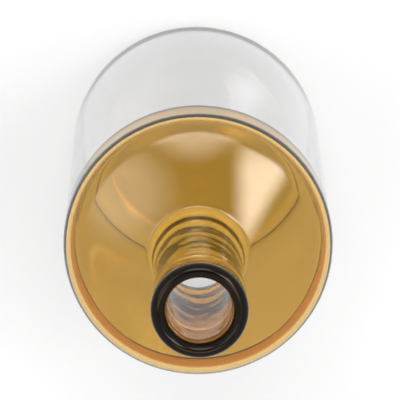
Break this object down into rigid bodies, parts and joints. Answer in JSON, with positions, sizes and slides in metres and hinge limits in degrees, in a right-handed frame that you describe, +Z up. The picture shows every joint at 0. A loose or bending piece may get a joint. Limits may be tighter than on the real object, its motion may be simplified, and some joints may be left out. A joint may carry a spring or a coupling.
{
  "type": "glass bottle",
  "caption": "Round two-tone glass bottle with a clear lower body, an amber shoulder and neck, and a black ring on its open mouth, for holding and pouring liquids.",
  "frame": {"origin": "centre of the base, on the plane that the bottle stands on", "axes": "+Z up along the bottle's axis towards the mouth; the bottle is round, so +X and +Y are free"},
  "size_m": [0.08, 0.08, 0.1999],
  "materials": {
    "clear_glass": "clear, polished",
    "amber_glass": "amber, polished",
    "black_ring": "black, glossy"
  },
  "bodies": {
    "root": {"lower_body": "clear_glass", "upper_body": "amber_glass", "mouth_ring": "black_ring"}
  },
  "joints": []
}
